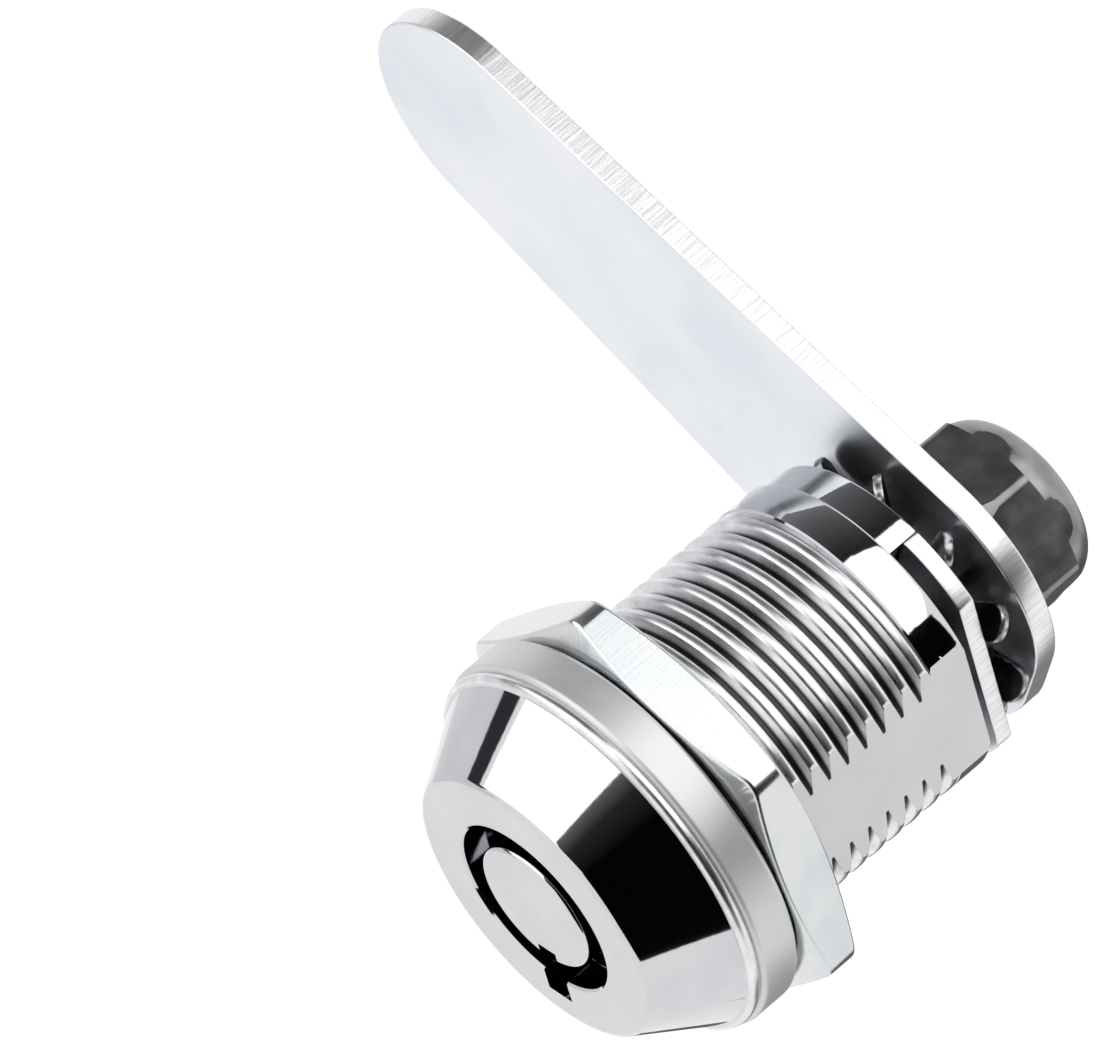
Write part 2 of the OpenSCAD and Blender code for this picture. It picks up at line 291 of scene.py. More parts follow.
def turn_outline(outline, degrees):
    c, s = math.cos(math.radians(degrees)), math.sin(math.radians(degrees))
    return [(x * c - z * s, x * s + z * c) for x, z in outline]


def drive_outline(clearance):
    """The spindle's section behind the bushing: a circle cut by four flats."""
    half = DRIVE_FLATS / 2 + clearance
    radius = SPINDLE_R + clearance
    return [(max(-half, min(half, x)), max(-half, min(half, z)))
            for x, z in circle_outline(radius, 96)]


# ---------------------------------------------------------------- material tools

def linear(hex_colour):
    """An sRGB hex colour as linear RGBA."""
    parts = [int(hex_colour[i:i + 2], 16) / 255 for i in (1, 3, 5)]
    return [p / 12.92 if p <= 0.04045 else ((p + 0.055) / 1.055) ** 2.4 for p in parts] + [1.0]


def add(tree, kind, settings=None, **links):
    """Adds a node. Settings are properties or input values; links join inputs to other nodes' outputs."""
    node = tree.nodes.new(kind)
    for key, value in (settings or {}).items():
        if key in node.inputs:
            node.inputs[key].default_value = value
        else:
            setattr(node, key, value)
    for key, output in links.items():
        tree.links.new(node.inputs[key.replace("_", " ")], output)
    return node


def metal(name, colour, roughness, metallic=1.0):
    """A new metal material. Returns its tree, its shader and its object coordinates."""
    material = bpy.data.materials.new(name)
    material.use_nodes = True
    tree = material.node_tree
    tree.nodes.clear()
    shader = add(tree, "ShaderNodeBsdfPrincipled", {
        "Base Color": linear(colour), "Metallic": metallic, "Roughness": roughness})
    add(tree, "ShaderNodeOutputMaterial", Surface=shader.outputs["BSDF"])
    place = add(tree, "ShaderNodeTexCoord").outputs["Object"]
    return material, tree, shader, place


def ramp(tree, source, stops):
    """A colour ramp over a value, from (position, hex colour) stops."""
    node = add(tree, "ShaderNodeValToRGB", None, Fac=source)
    for k, (position, colour) in enumerate(stops):
        element = node.color_ramp.elements[k] if k < 2 else node.color_ramp.elements.new(position)
        element.position = position
        element.color = linear(colour)
    return node.outputs["Color"]


def remap(tree, source, low, high):
    """A 0 to 1 value moved into a range."""
    return add(tree, "ShaderNodeMapRange", {"To Min": low, "To Max": high}, Value=source).outputs["Result"]


# Chromium plate over a polished zinc die casting: a mirror with faint haze and tiny pits.
def polished_chrome():
    material, tree, shader, place = metal("polished_chrome", "#cfd0d2", 0.05)
    haze = add(tree, "ShaderNodeTexNoise", {"Scale": 1 / (3.0 * MM), "Detail": 5.0}, Vector=place)
    pits = add(tree, "ShaderNodeTexNoise", {"Scale": 1 / (0.25 * MM), "Detail": 3.0}, Vector=place)
    tree.links.new(shader.inputs["Base Color"],
                   ramp(tree, haze.outputs["Fac"], [(0.3, "#c6c7ca"), (0.7, "#d2d3d5")]))
    tree.links.new(shader.inputs["Roughness"], remap(tree, haze.outputs["Fac"], 0.03, 0.08))
    bump = add(tree, "ShaderNodeBump", {"Strength": 0.05, "Distance": 0.02 * MM},
               Height=pits.outputs["Fac"])
    tree.links.new(shader.inputs["Normal"], bump.outputs["Normal"])
    return material


# The same plate over a machined surface: an even, soft grey sheen with fine tool marks.
def satin_chrome():
    material, tree, shader, place = metal("satin_chrome", "#d2d3d4", 0.45, 0.8)
    haze = add(tree, "ShaderNodeTexNoise", {"Scale": 1 / (4.0 * MM), "Detail": 4.0}, Vector=place)
    marks = add(tree, "ShaderNodeTexNoise", {"Scale": 1 / (0.15 * MM), "Detail": 2.0}, Vector=place)
    tree.links.new(shader.inputs["Base Color"],
                   ramp(tree, haze.outputs["Fac"], [(0.3, "#cccdce"), (0.7, "#d6d7d7")]))
    tree.links.new(shader.inputs["Roughness"], remap(tree, haze.outputs["Fac"], 0.38, 0.5))
    bump = add(tree, "ShaderNodeBump", {"Strength": 0.06, "Distance": 0.02 * MM},
               Height=marks.outputs["Fac"])
    tree.links.new(shader.inputs["Normal"], bump.outputs["Normal"])
    return material


# Plate over the thread: duller than the turned faces, so each crest reads as a soft band, with
# painted shade along the root: the colour darkens towards the root's radius.
def dull_chrome():
    material, tree, shader, place = metal("dull_thread_chrome", "#e0e1e2", 0.3)
    haze = add(tree, "ShaderNodeTexNoise", {"Scale": 1 / (1.2 * MM), "Detail": 5.0}, Vector=place)
    rolled = add(tree, "ShaderNodeMapping", {"Scale": (1 / (2.0 * MM), 1 / (0.12 * MM), 1 / (2.0 * MM))},
                 Vector=place)
    lines = add(tree, "ShaderNodeTexNoise", {"Scale": 1.0, "Detail": 3.0},
                Vector=rolled.outputs["Vector"])
    plate = ramp(tree, haze.outputs["Fac"], [(0.3, "#d2d3d5"), (0.7, "#eeeeef")])
    # Painted shade: the colour is darkened towards the thread's root radius, down to 6 per cent at the root.
    across = add(tree, "ShaderNodeMapping", {"Scale": (1, 0, 1)}, Vector=place)
    radius = add(tree, "ShaderNodeVectorMath", {"operation": "LENGTH"}, Vector=across.outputs["Vector"])
    painted_root_shade = add(tree, "ShaderNodeMapRange", {
        "From Min": BARREL_R - THREAD_DEPTH, "From Max": BARREL_R - 0.38 * MM,
        "To Min": 0.06, "To Max": 1.0}, Value=radius.outputs["Value"])
    shaded = add(tree, "ShaderNodeVectorMath", {"operation": "SCALE"},
                 Vector=plate, Scale=painted_root_shade.outputs["Result"])
    tree.links.new(shader.inputs["Base Color"], shaded.outputs["Vector"])
    tree.links.new(shader.inputs["Roughness"], remap(tree, haze.outputs["Fac"], 0.22, 0.36))
    bump = add(tree, "ShaderNodeBump", {"Strength": 0.45, "Distance": 0.03 * MM},
               Height=lines.outputs["Fac"])
    tree.links.new(shader.inputs["Normal"], bump.outputs["Normal"])
    return material


# Steel under bright passivated zinc: a slightly cloudy, faintly green gloss.
def bright_zinc():
    material, tree, shader, place = metal("bright_zinc_plate", "#d0d3d2", 0.2)
    cloud = add(tree, "ShaderNodeTexNoise", {"Scale": 1 / (2.5 * MM), "Detail": 6.0}, Vector=place)
    stretched = add(tree, "ShaderNodeMapping", {"Scale": (1 / (0.12 * MM), 1 / (3.0 * MM), 1 / (0.12 * MM))},
                    Vector=place)
    drawn = add(tree, "ShaderNodeTexNoise", {"Scale": 1.0, "Detail": 3.0},
                Vector=stretched.outputs["Vector"])
    tree.links.new(shader.inputs["Base Color"],
                   ramp(tree, cloud.outputs["Fac"], [(0.3, "#cdd1d4"), (0.55, "#d8dadb"), (0.8, "#dfe0de")]))
    tree.links.new(shader.inputs["Roughness"], remap(tree, cloud.outputs["Fac"], 0.15, 0.28))
    bump = add(tree, "ShaderNodeBump", {"Strength": 0.1, "Distance": 0.02 * MM},
               Height=drawn.outputs["Fac"])
    tree.links.new(shader.inputs["Normal"], bump.outputs["Normal"])
    return material


# Cold-rolled steel sheet under satin zinc: pale, faintly blue, softly mottled.
def satin_zinc():
    material, tree, shader, place = metal("satin_zinc_plate", "#dfe2e7", 0.3)
    cloud = add(tree, "ShaderNodeTexNoise", {"Scale": 1 / (6.0 * MM), "Detail": 6.0}, Vector=place)
    grain = add(tree, "ShaderNodeTexNoise", {"Scale": 1 / (0.2 * MM), "Detail": 3.0}, Vector=place)
    tree.links.new(shader.inputs["Base Color"],
                   ramp(tree, cloud.outputs["Fac"], [(0.3, "#d6dae1"), (0.7, "#e4e6e9")]))
    tree.links.new(shader.inputs["Roughness"], remap(tree, cloud.outputs["Fac"], 0.24, 0.36))
    bump = add(tree, "ShaderNodeBump", {"Strength": 0.08, "Distance": 0.02 * MM},
               Height=grain.outputs["Fac"])
    tree.links.new(shader.inputs["Normal"], bump.outputs["Normal"])
    return material


# The blanked edge of zinc-plated sheet: vertical shear lines and a torn half.
def sheared_zinc_edge():
    material, tree, shader, place = metal("sheared_zinc_edge", "#e2e3e5", 0.34)
    stretched = add(tree, "ShaderNodeMapping", {"Scale": (1 / (0.16 * MM), 1 / (2.4 * MM), 1 / (0.16 * MM))},
                    Vector=place)
    lines = add(tree, "ShaderNodeTexNoise", {"Scale": 1.0, "Detail": 4.0},
                Vector=stretched.outputs["Vector"])
    tree.links.new(shader.inputs["Base Color"],
                   ramp(tree, lines.outputs["Fac"], [(0.35, "#dcdddf"), (0.6, "#f1f1f1")]))
    bump = add(tree, "ShaderNodeBump", {"Strength": 0.22, "Distance": 0.04 * MM},
               Height=lines.outputs["Fac"])
    tree.links.new(shader.inputs["Normal"], bump.outputs["Normal"])
    return material


# Hardened spring steel, black-oiled: dark faces; the bright edges are a painted highlight, from the next
# material.
def oiled_spring_steel():
    material, tree, shader, place = metal("oiled_spring_steel", "#4a4a4c", 0.28)
    haze = add(tree, "ShaderNodeTexNoise", {"Scale": 1 / (1.0 * MM), "Detail": 4.0}, Vector=place)
    tree.links.new(shader.inputs["Base Color"],
                   ramp(tree, haze.outputs["Fac"], [(0.3, "#38383a"), (0.7, "#5a5a5c")]))
    tree.links.new(shader.inputs["Roughness"], remap(tree, haze.outputs["Fac"], 0.2, 0.38))
    return material


# The teeth's edges, lighter grey: a painted highlight, mottled by noise, standing in for the light the
# sheet's edges catch.
def painted_edge_highlight_steel():
    material, tree, shader, place = metal("painted_edge_highlight_steel", "#b9babb", 0.3)
    highlight_mottle = add(tree, "ShaderNodeTexNoise", {"Scale": 1 / (0.35 * MM), "Detail": 4.0}, Vector=place)
    tree.links.new(shader.inputs["Base Color"],
                   ramp(tree, highlight_mottle.outputs["Fac"], [(0.4, "#7c7d7f"), (0.6, "#d0d1d1")]))
    tree.links.new(shader.inputs["Roughness"], remap(tree, highlight_mottle.outputs["Fac"], 0.24, 0.4))
    return material


# Plain turned steel, lightly oiled: mid grey with fine drawn lines along the bar.
def plain_steel():
    material, tree, shader, place = metal("plain_bar_steel", "#8b8c8e", 0.32)
    stretched = add(tree, "ShaderNodeMapping", {"Scale": (1 / (0.14 * MM), 1 / (4.0 * MM), 1 / (0.14 * MM))},
                    Vector=place)
    drawn = add(tree, "ShaderNodeTexNoise", {"Scale": 1.0, "Detail": 3.0},
                Vector=stretched.outputs["Vector"])
    cloud = add(tree, "ShaderNodeTexNoise", {"Scale": 1 / (1.5 * MM), "Detail": 5.0}, Vector=place)
    tree.links.new(shader.inputs["Base Color"],
                   ramp(tree, cloud.outputs["Fac"], [(0.3, "#777879"), (0.7, "#97989a")]))
    tree.links.new(shader.inputs["Roughness"], remap(tree, cloud.outputs["Fac"], 0.26, 0.4))
    bump = add(tree, "ShaderNodeBump", {"Strength": 0.3, "Distance": 0.02 * MM},
               Height=drawn.outputs["Fac"])
    tree.links.new(shader.inputs["Normal"], bump.outputs["Normal"])
    return material


# Free-cutting brass, turned: warm yellow with fine rings.
def turned_brass():
    material, tree, shader, place = metal("turned_brass", "#c9a760", 0.25)
    haze = add(tree, "ShaderNodeTexNoise", {"Scale": 1 / (0.8 * MM), "Detail": 4.0}, Vector=place)
    tree.links.new(shader.inputs["Base Color"],
                   ramp(tree, haze.outputs["Fac"], [(0.3, "#b8944e"), (0.7, "#d3b36c")]))
    tree.links.new(shader.inputs["Roughness"], remap(tree, haze.outputs["Fac"], 0.18, 0.34))
    return material


# Ground steel pin stock and hard-drawn spring wire.
def ground_steel():
    material, tree, shader, place = metal("ground_steel", "#a9abad", 0.2)
    haze = add(tree, "ShaderNodeTexNoise", {"Scale": 1 / (0.5 * MM), "Detail": 3.0}, Vector=place)
    tree.links.new(shader.inputs["Roughness"], remap(tree, haze.outputs["Fac"], 0.14, 0.3))
    return material


CHROME = polished_chrome()
SATIN_CHROME = satin_chrome()
DULL_CHROME = dull_chrome()
BRIGHT_ZINC = bright_zinc()
SATIN_ZINC = satin_zinc()
SHEARED_EDGE = sheared_zinc_edge()
SPRING_STEEL = oiled_spring_steel()
EDGE_HIGHLIGHT_STEEL = painted_edge_highlight_steel()
PLAIN_STEEL = plain_steel()
BRASS = turned_brass()
GROUND_STEEL = ground_steel()


def paint(obj, *materials):
    """Gives obj these materials in order; the first covers every face."""
    obj.data.materials.clear()
    for material in materials:
        obj.data.materials.append(material)
    for polygon in obj.data.polygons:
        polygon.material_index = 0


def repaint(obj, index, test):
    """Gives the faces that pass test(centre, normal) another of obj's materials."""
    for polygon in obj.data.polygons:
        if test(polygon.center, polygon.normal):
            polygon.material_index = index


def place_piece(obj, body, slot_name, *nodes):
    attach(obj, body)
    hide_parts(*nodes)


# ---------------------------------------------------------------- the housing

def head_outline():
    """The head, from the keyway's mouth round the outside to the back of the flange."""
    cone_r = FLANGE_R - 2 * RIM_STEP
    rim_back = -FLANGE_T
    rim_front = rim_back - RIM_T
    outline = [(KEYWAY_R, FACE_Y + 0.12 * MM), (KEYWAY_R + 0.12 * MM, FACE_Y)]
    outline += arc((FACE_R - 0.45 * MM, FACE_Y + 0.45 * MM), 0.45 * MM, -90, -30)
    outline += [(cone_r - 0.14 * MM, rim_front - 0.25 * MM)]
    outline += arc((cone_r - 0.05 * MM, rim_back - 0.22 * MM), 0.36 * MM, -80, 20, 8)
    outline += [(cone_r + 0.24 * MM, rim_back + 0.02 * MM)]
    outline += arc((FLANGE_R - 0.35 * MM, rim_back + 0.4 * MM), 0.35 * MM, -80, 0, 8)
    outline += arc((FLANGE_R - 0.35 * MM, -0.35 * MM), 0.35 * MM, 0, 90, 8)
    return outline


def barrel_outline():
    core_r = BARREL_R - THREAD_DEPTH - 0.04 * MM
    plain_r = BARREL_R + 0.005 * MM
    return [(core_r, 0.0), (core_r, THREAD_END - 0.15 * MM), (plain_r - 0.1 * MM, THREAD_END),
            (plain_r, THREAD_END + 0.1 * MM), (plain_r, BARREL_LEN - 0.25 * MM),
            (plain_r - 0.08 * MM, BARREL_LEN - 0.08 * MM), (plain_r - 0.25 * MM, BARREL_LEN)]


def hollow_outline():
    """The inside, from the barrel's end forward to the keyway's mouth."""
    groove_front = FACE_Y + LIP_T
    groove_back = groove_front + GROOVE_LEN
    groove_r = KEYWAY_R + NOTCH_DEPTH
    return [(CHAMBER_R, BARREL_LEN), (CHAMBER_R, CHAMBER_FRONT), (KEYWAY_R, CHAMBER_FRONT),
            (KEYWAY_R, groove_back), (groove_r, groove_back), (groove_r, groove_front),
            (KEYWAY_R, groove_front)]


def build_housing():
    body = lathe("housing_body", head_outline() + barrel_outline() + hollow_outline(), 192)
    thread = helix_thread("thread", BARREL_R, BARREL_R - THREAD_DEPTH, 7 * MM,
                          THREAD_PITCH, -1.2 * MM, THREAD_END + 1.9 * MM)
    combine(body, thread, "UNION")
    lug_start = CAM_ANGLE - 90 + 0.5
    lug_outline = (circle_outline(BARREL_R - 0.3 * MM, 24, lug_start, lug_start + LUG_ANGLE - 1)
                   + circle_outline(CHAMBER_R + 0.2 * MM, 24, lug_start, lug_start + LUG_ANGLE - 1)[::-1])
    lug = bevel_edges(prism("lug", lug_outline, BARREL_LEN - 0.4 * MM, LUG_END), 0.12 * MM, 2, 50)
    combine(body, lug, "UNION")
    for side in (-1, 1):
        near, far = sorted((side * FLAT_X, side * 14 * MM))
        block = prism("flat_cut", [(near, -14 * MM), (far, -14 * MM), (far, 14 * MM), (near, 14 * MM)],
                      0.0, 30 * MM)
        combine(body, block, "DIFFERENCE")
    half = NOTCH_W / 2
    notch = prism("notch", [(-half, -KEYWAY_R - NOTCH_DEPTH), (half, -KEYWAY_R - NOTCH_DEPTH),
                            (half, -KEYWAY_R + 1 * MM), (-half, -KEYWAY_R + 1 * MM)],
                  FACE_Y - 1 * MM, FACE_Y + LIP_T + 1 * MM)
    combine(body, notch, "DIFFERENCE")
    smooth(body, 28)
    paint(body, CHROME, SATIN_CHROME, DULL_CHROME)
    repaint(body, 2, lambda c, n: 0 < c.y < THREAD_END and math.hypot(c.x, c.z) > BARREL_R - 0.7 * MM)
    repaint(body, 2, lambda c, n: abs(c.y + FLANGE_T + 0.22 * MM) < 0.36 * MM
            and math.hypot(c.x, c.z) > FLANGE_R - 0.5 * MM)
    repaint(body, 1, lambda c, n: abs(n.x) > 0.999 and abs(abs(c.x) - FLAT_X) < 0.02 * MM)
    repaint(body, 1, lambda c, n: n.y < -0.999 and c.y < FACE_Y + 0.02 * MM)
    repaint(body, 1, lambda c, n: math.hypot(c.x, c.z) > FLANGE_R - 0.3 * MM and c.y > -FLANGE_T)
    place_piece(body, "housing", "chrome_housing", "housing")


# ---------------------------------------------------------------- nuts

def hex_nut(name, flats, low_y, high_y, angle, round_r, envelope):
    """A round-cornered hexagon turned to an envelope of (radius, height above low_y) points."""
    centre_r = (flats / 2 - round_r) / math.cos(math.radians(30))
    outline = []
    for k in range(6):
        corner = math.radians(angle + 60 * k)
        outline += [(centre_r * math.cos(corner) + x, centre_r * math.sin(corner) + z) for x, z in
                    circle_outline(round_r, 7, angle + 60 * k - 30, angle + 60 * k + 30)]
    body = prism(name, outline, low_y, high_y)
    turned = lathe(name + "_turned", [(r, low_y + h) for r, h in envelope], 192)
    return combine(body, turned, "INTERSECT")


def chamfer_envelope(flats, height, slope):
    """Cones at both ends, which leave the corners shorter than the faces."""
    inner_r = flats / 2 * 0.96
    drop = 0.45 * height
    outer_r = inner_r + drop / math.tan(math.radians(slope))
    return [(0, 0), (inner_r, 0), (outer_r, drop), (outer_r, height - drop), (inner_r, height), (0, height)]


def build_mounting_nut():
    low_y, high_y = nut_low.y, nut_high.y
    nut = hex_nut("mounting_nut_body", NUT_FLATS, low_y, high_y, NUT_ANGLE, 1.3 * MM,
                  chamfer_envelope(NUT_FLATS, high_y - low_y, 20))
    bevel_edges(nut, 0.18 * MM, 3, 18)
    bore_r = BARREL_R + 0.05 * MM
    bore = lathe("bore", [
        (0, low_y - 1 * MM), (bore_r + 1.5 * MM, low_y - 1 * MM), (bore_r, low_y + 0.5 * MM),
        (bore_r, high_y - 0.5 * MM), (bore_r + 1.5 * MM, high_y + 1 * MM), (0, high_y + 1 * MM)], 144)
    combine(nut, bore, "DIFFERENCE")
    thread = helix_thread("nut_thread", bore_r + 0.35 * MM, bore_r - 0.05 * MM, 7 * MM, THREAD_PITCH,
                          low_y - 3 * MM, high_y + 4 * MM)
    combine(nut, thread, "DIFFERENCE")
    smooth(nut, 30)
    paint(nut, BRIGHT_ZINC)
    place_piece(nut, "mounting_nut", "zinc_plated_nut", "mounting_nut")


def build_end_nut():
    low_y, high_y = end_nut_low.y, end_nut_high.y
    height = high_y - low_y
    corner_r = END_NUT_FLATS / 2 / math.cos(math.radians(30))
    dome_r = END_NUT_FLATS / 2 + 0.15 * MM
    round_r = height - END_NUT_HEX
    envelope = [(0, 0), (corner_r - 0.42 * MM, 0), (corner_r + 0.05 * MM, 3.2 * MM),
                (corner_r + 0.05 * MM, END_NUT_HEX - 0.3 * MM), (dome_r, END_NUT_HEX)]
    envelope += arc((dome_r - round_r, height - round_r), round_r, 5, 90, 14) + [(0, height)]
    nut = hex_nut("end_nut_body", END_NUT_FLATS, low_y, high_y, END_NUT_ANGLE, 0.6 * MM, envelope)
    bevel_edges(nut, 0.12 * MM, 3, 18)
    bore = lathe("bore", [(0, low_y - 1 * MM), (TAIL_R + 0.02 * MM, low_y - 1 * MM),
                          (TAIL_R + 0.02 * MM, high_y - 0.4 * MM),
                          (TAIL_R + 0.6 * MM, high_y + 0.2 * MM), (0, high_y + 1 * MM)], 96)
    combine(nut, bore, "DIFFERENCE")
    smooth(nut, 30)
    paint(nut, PLAIN_STEEL)
    place_piece(nut, "rotor", "plain_steel_nut", "end_nut")


# ---------------------------------------------------------------- spindle, washers and cam

def build_spindle():
    rotor_front = CHAMBER_FRONT + 0.05 * MM
    rotor_back = rotor_front + 4.8 * MM
    tail_start = cam_high.y - 0.2 * MM
    end = spindle_high.y
    core_r = TAIL_R - 0.5 * MM
    outline = [(0, FACE_Y)] + arc((POST_R - 0.25 * MM, FACE_Y + 0.25 * MM), 0.25 * MM, -90, 0)
    outline += [(POST_R, rotor_front), (CHAMBER_R - 0.05 * MM, rotor_front),
                (CHAMBER_R - 0.05 * MM, rotor_back), (SPINDLE_R, rotor_back),
                (SPINDLE_R, tail_start), (core_r, tail_start + 0.05 * MM),
                (core_r, end - 0.3 * MM), (core_r - 0.35 * MM, end), (0, end)]
    body = lathe("spindle_body", outline, 128)
    section = drive_outline(0)
    outer = circle_outline(SPINDLE_R + 2 * MM, 96)
    turned = turn_outline(section, CAM_ANGLE)
    collar = prism("drive_cut", outer, stop_low.y, cam_high.y)
    combine(collar, prism("drive_core", turned, stop_low.y - 1 * MM, cam_high.y + 1 * MM), "DIFFERENCE")
    combine(body, collar, "DIFFERENCE")
    thread = helix_thread("tail_thread", TAIL_R, TAIL_R - 0.45 * MM, 1.5 * MM, TAIL_PITCH,
                          tail_start - 1.4 * MM, end + 1.4 * MM, 72)
    limit = lathe("tail_limit", [(0, tail_start + 0.1 * MM), (TAIL_R + 1 * MM, tail_start + 0.1 * MM),
                                 (TAIL_R + 1 * MM, end - 1.4 * MM), (TAIL_R - 0.4 * MM, end), (0, end)], 72)
    combine(thread, limit, "INTERSECT")
    combine(body, thread, "UNION")
    for i in range(7):
        middle = on_circle(KEYWAY_R + 0.15 * MM - 0.65 * MM, -90 + (i + 0.5) * 360 / 7)
        hole = prism("pin_hole", [(middle.x + x, middle.z + z) for x, z in circle_outline(0.7 * MM, 32)],
                     rotor_front - 1 * MM, rotor_back + 1 * MM)
        combine(body, hole, "DIFFERENCE")
    half = POST_NOTCH_W / 2
    notch = prism("post_notch", [(-half, -POST_R - 1 * MM), (half, -POST_R - 1 * MM),
                                 (half, -POST_R + 0.75 * MM), (-half, -POST_R + 0.75 * MM)],
                  FACE_Y - 1 * MM, FACE_Y + LIP_T + GROOVE_LEN)
    combine(body, notch, "DIFFERENCE")
    smooth(body, 28)
    paint(body, CHROME, SATIN_CHROME)
    repaint(body, 1, lambda c, n: n.y < -0.99 and c.y < FACE_Y + 0.05 * MM)
    place_piece(body, "rotor", "chrome_spindle", "spindle")


def build_stop_washer():
    wide_start = CAM_ANGLE - 90
    free = 90 + LUG_ANGLE
    hub = [p for p in circle_outline(CHAMBER_R - 0.1 * MM, 48, wide_start, wide_start + free)]
    wide = [(max(-STOP_SIDE, min(STOP_SIDE, x)), z) for x, z in
            circle_outline(STOP_R, 160, wide_start + free, wide_start + 360)]
    body = prism("stop_washer_body", hub + wide, stop_low.y, stop_high.y)
    bevel_edges(body, 0.09 * MM, 2, 40)
    hole = prism("drive_hole", turn_outline(drive_outline(0.05 * MM), CAM_ANGLE),
                 stop_low.y - 1 * MM, stop_high.y + 1 * MM)
    combine(body, hole, "DIFFERENCE")
    smooth(body, 30)
    paint(body, SATIN_ZINC, SHEARED_EDGE)
    repaint(body, 1, lambda c, n: abs(n.y) < 0.3)
    place_piece(body, "rotor", "zinc_plated_stop_washer", "stop_washer")


def washer_tooth(name, angle, inner_r, outer_r, width, thickness, twist, middle_y):
    """One tooth: a tapered, round-ended blade, twisted about its own length."""
    length = outer_r - inner_r
    outline = [(0, -width * 0.36), (length * 0.55, -width / 2)]
    outline += [(length * 0.7 + length * 0.3 * math.cos(math.radians(a)),
                 width / 2 * math.sin(math.radians(a))) for a in range(-80, 81, 20)]
    outline += [(length * 0.55, width / 2), (0, width * 0.36)]
    tooth = prism(name, outline, -thickness / 2, thickness / 2)
    bevel_edges(tooth, 0.1 * MM, 2, 50)
    paint(tooth, SPRING_STEEL, EDGE_HIGHLIGHT_STEEL)
    # The edge faces get the painted highlight material.
    repaint(tooth, 1, lambda c, n: abs(n.y) < 0.95)
    lean = Matrix.Rotation(math.radians(twist), 4, "X")
    turn = Matrix.Rotation(math.radians(-angle), 4, "Y")
    out = Matrix.Translation((inner_r, 0, 0))
    tooth.data.transform(Matrix.Translation((0, middle_y, 0)) @ turn @ out @ lean)
    return tooth


def build_toothed_washer():
    middle_y = (tooth_low.y + tooth_high.y) / 2
    sheet = 0.5 * MM
    ring_r = TOOTH_R - 2.3 * MM
    body = lathe("toothed_washer_body", [
        (SPINDLE_R + 0.15 * MM, middle_y - sheet / 2), (ring_r, middle_y - sheet / 2),
        (ring_r, middle_y + sheet / 2), (SPINDLE_R + 0.15 * MM, middle_y + sheet / 2)], 96)
    # The ring holds both materials, so the teeth's painted edge highlight keeps its slot in the union.
    paint(body, SPRING_STEEL, EDGE_HIGHLIGHT_STEEL)
    for i in range(TOOTH_COUNT):
        tooth = washer_tooth("tooth", TOOTH_START + 360 * i / TOOTH_COUNT, ring_r - 0.4 * MM,
                             TOOTH_R, TOOTH_W, sheet, -40, middle_y)
        combine(body, tooth, "UNION")
    smooth(body, 30)
    place_piece(body, "rotor", "dark_spring_steel", "toothed_washer")


def cam_outline():
    """The cam along +X: a tapered arm with a round tip and a full, rounded tail."""
    corner_z = CAM_HUB_R - CAM_CORNER_R
    corner_x = CAM_CORNER_R - CAM_TAIL
    length = math.hypot(CAM_REACH - corner_x, corner_z)
    taper = math.degrees(math.asin((CAM_CORNER_R - CAM_TIP_R) / length)
                         + math.atan2(corner_z, CAM_REACH - corner_x))
    tip = [(CAM_REACH + x, z) for x, z in circle_outline(CAM_TIP_R, 48, taper - 90, 90 - taper)]
    corner = [(corner_x + x, corner_z + z) for x, z in circle_outline(CAM_CORNER_R, 32, 90 - taper, 180)]
    return tip + corner + [(x, -z) for x, z in reversed(corner)]


def build_cam():
    body = prism("cam_plate", turn_outline(cam_outline(), CAM_ANGLE), cam_low.y, cam_high.y)
    bevel_edges(body, 0.13 * MM, 3, 40)
    hole = prism("drive_hole", turn_outline(drive_outline(0.05 * MM), CAM_ANGLE),
                 cam_low.y - 1 * MM, cam_high.y + 1 * MM)
    combine(body, hole, "DIFFERENCE")
    smooth(body, 30)
    paint(body, SATIN_ZINC, SHEARED_EDGE)
    repaint(body, 1, lambda c, n: abs(n.y) < 0.3)
    place_piece(body, "rotor", "zinc_plated_cam", "cam")


# ---------------------------------------------------------------- pieces that keep their CAD mesh

def finish_inner_pieces():
    for name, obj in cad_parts.items():
        if name.startswith("key_pin"):
            paint(obj, BRASS)
        # The pin bushing gets the dark oiled steel as painted shade, standing for the dark gap between the
        # barrel's end and the stop washer.
        elif name == "pin_bushing":
            paint(obj, SPRING_STEEL)
        elif name.startswith(("driver_pin", "pin_spring")) or name == "bushing_retainer":
            paint(obj, GROUND_STEEL)
        if name.startswith("pin_spring"):
            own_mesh(obj)


# ---------------------------------------------------------------- studio

def emitter(name, strength, stops):
    """An even glow, or one that changes along X through (metres, hex colour) stops."""
    material = bpy.data.materials.new(name)
    material.use_nodes = True
    tree = material.node_tree
    tree.nodes.clear()
    light = add(tree, "ShaderNodeEmission", {"Color": linear(stops[0][1]), "Strength": strength})
    if len(stops) > 1:
        start, end = stops[0][0], stops[-1][0]
        place = add(tree, "ShaderNodeSeparateXYZ",
                    Vector=add(tree, "ShaderNodeTexCoord").outputs["Object"])
        share = add(tree, "ShaderNodeMapRange", {"From Min": start, "From Max": end},
                    Value=place.outputs["X"])
        tree.links.new(light.inputs["Color"], ramp(tree, share.outputs["Result"], [
            ((x - start) / (end - start), colour) for x, colour in stops]))
    add(tree, "ShaderNodeOutputMaterial", Surface=light.outputs["Emission"])
    return material


def card(name, corners, strength, *stops):
    """A flat studio card that shows in reflections only."""
    obj = mesh_object(name, [Vector(c) for c in corners], [list(range(len(corners)))])
    obj.data.materials.append(emitter(name, strength, stops))
    obj.visible_camera = False
    obj.visible_diffuse = False
    obj.visible_shadow = False
    return obj


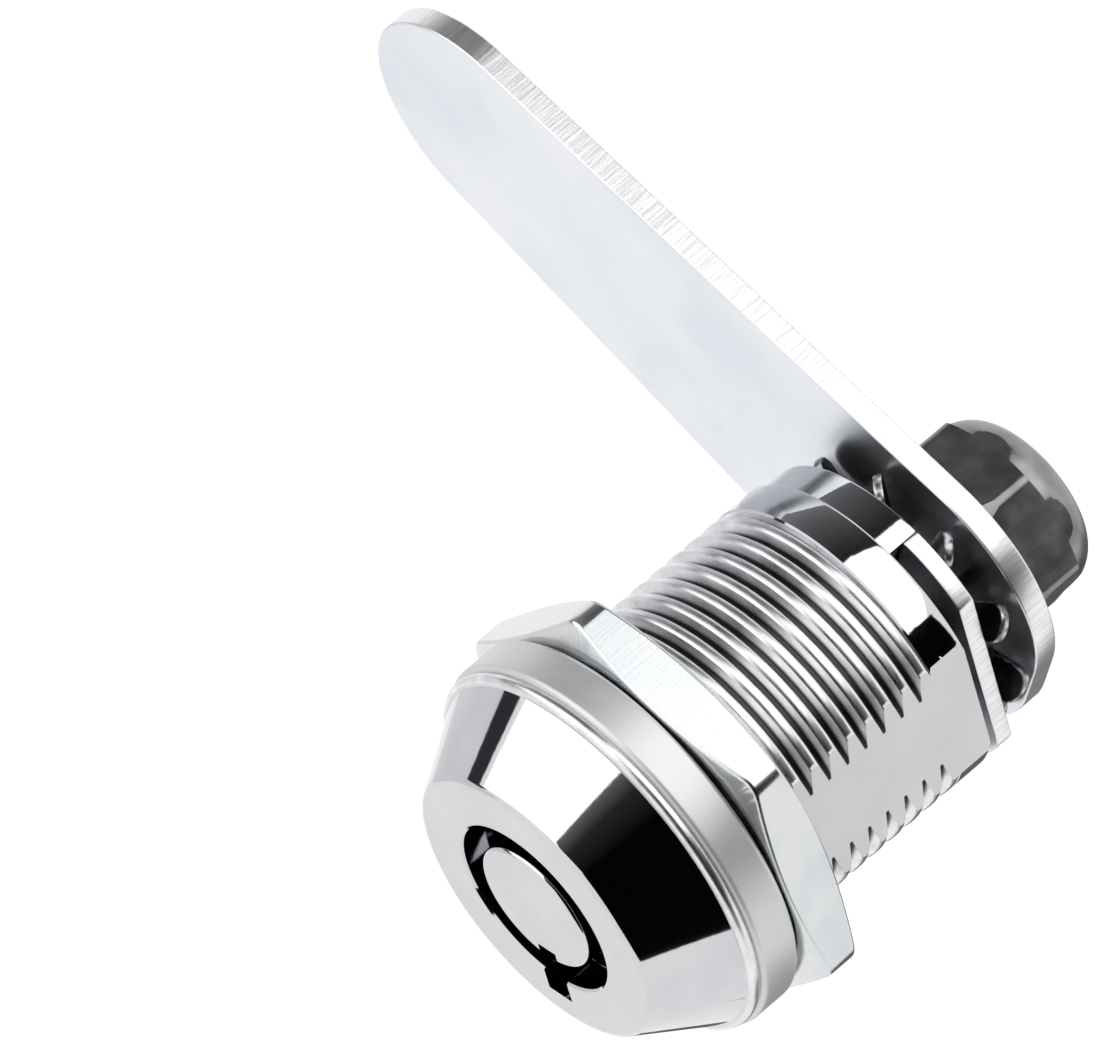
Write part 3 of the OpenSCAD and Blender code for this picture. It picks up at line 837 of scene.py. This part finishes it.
def build_studio():
    floor_z = -0.22
    floor = mesh_object("floor", [(-4, -4, floor_z), (4, -4, floor_z), (4, 4, floor_z), (-4, 4, floor_z)],
                        [[0, 1, 2, 3]])
    material = bpy.data.materials.new("matt_white_floor")
    material.use_nodes = True
    shader = material.node_tree.nodes["Principled BSDF"]
    shader.inputs["Base Color"].default_value = linear("#fafafa")
    shader.inputs["Roughness"].default_value = 0.9
    floor.data.materials.append(material)

    top = 0.30

    def over(*spots):
        return [(x * top, y * top, top) for x, y in spots]

    card("softbox_front", over((-1.75, -1.4), (0.2, -1.4), (0.2, -0.25), (-1.75, -0.25)),
         1.9, (0, "#ffffff"))
    card("softbox_back", over((-0.012, 0.05), (1.9, 0.05), (1.9, 1.6), (-0.012, 1.6)), 1.9, (0, "#ffffff"))
    card("dark_top_front", over((0.205, -1.8), (1.02, -1.8), (1.02, -0.15), (0.205, -0.15)),
         1.0, (0.2 * top, "#6a6a6a"), (0.45 * top, "#2c2c2c"), (1.0 * top, "#060607"))
    card("dark_top_back", over((-2.6, 0.1), (-0.012, 0.1), (-0.012, 1.6), (-2.6, 1.6)),
         1.0, (-2.4 * top, "#a8a8aa"), (-0.9 * top, "#6a6a6c"), (0.0, "#202022"))
    side = 0.30
    outline = [(-2.4, -0.7), (-0.4, -0.7), (0.25, -0.2), (1.0, -0.05), (1.0, 0.52), (-0.1, 0.6),
               (-0.2, 1.02), (-2.4, 1.02)]
    card("dark_right", [(side, y * side, z * side) for y, z in outline], 1.0, (0, "#060607"))

    card("grey_strip_left", [(-side, -0.8 * side, 0.26 * side), (-side, 0.3 * side, 0.26 * side),
                             (-side, 0.3 * side, 0.5 * side), (-side, -0.8 * side, 0.5 * side)],
         1.0, (0, "#38383c"))
    card("grey_left", [(-side, -1.2 * side, -0.5 * side), (-side, 0.3 * side, -0.5 * side),
                       (-side, 0.3 * side, 0.26 * side), (-side, -1.2 * side, 0.26 * side)],
         1.0, (0, "#f0f0f2"))
    low = -0.2
    card("grey_below", [(-0.18, 0.04, low), (0.02, 0.04, low), (0.02, -0.018, low), (0.08, -0.018, low),
                        (0.08, 0.26, low), (-0.18, 0.26, low)], 1.0, (0, "#68686a"))

    world = bpy.data.worlds.new("studio")
    bpy.context.scene.world = world
    world.use_nodes = True
    background = world.node_tree.nodes["Background"]
    background.inputs["Color"].default_value = (1, 1, 1, 1)
    background.inputs["Strength"].default_value = 1.12


def build_camera():
    """A long lens, above and to the right of the keyway, turned a little."""
    azimuth, elevation, roll = 59.40, 44.89, -17.337
    a, e = math.radians(azimuth), math.radians(elevation)
    back = Vector((math.sin(a) * math.cos(e), -math.cos(a) * math.cos(e), math.sin(e)))
    level_right = Vector((math.cos(a), math.sin(a), 0))
    level_up = back.cross(level_right)
    r = math.radians(roll)
    right = level_right * math.cos(r) + level_up * math.sin(r)
    up = back.cross(right)
    target = Vector((-7.843, 4.605, 12.608)) * MM
    data = bpy.data.cameras.new("camera")
    data.sensor_width = 36
    data.lens = 565.4
    data.clip_start = 0.01
    data.clip_end = 20
    camera = bpy.data.objects.new("camera", data)
    bpy.context.scene.collection.objects.link(camera)
    basis = Matrix((right, up, back)).transposed().to_4x4()
    camera.matrix_world = Matrix.Translation(target + back * 852.33 * MM) @ basis
    bpy.context.scene.camera = camera


build_housing()
build_mounting_nut()
build_spindle()
build_stop_washer()
build_toothed_washer()
build_cam()
build_end_nut()
finish_inner_pieces()
build_studio()
build_camera()

scene = bpy.context.scene
scene.view_settings.view_transform = "Standard"
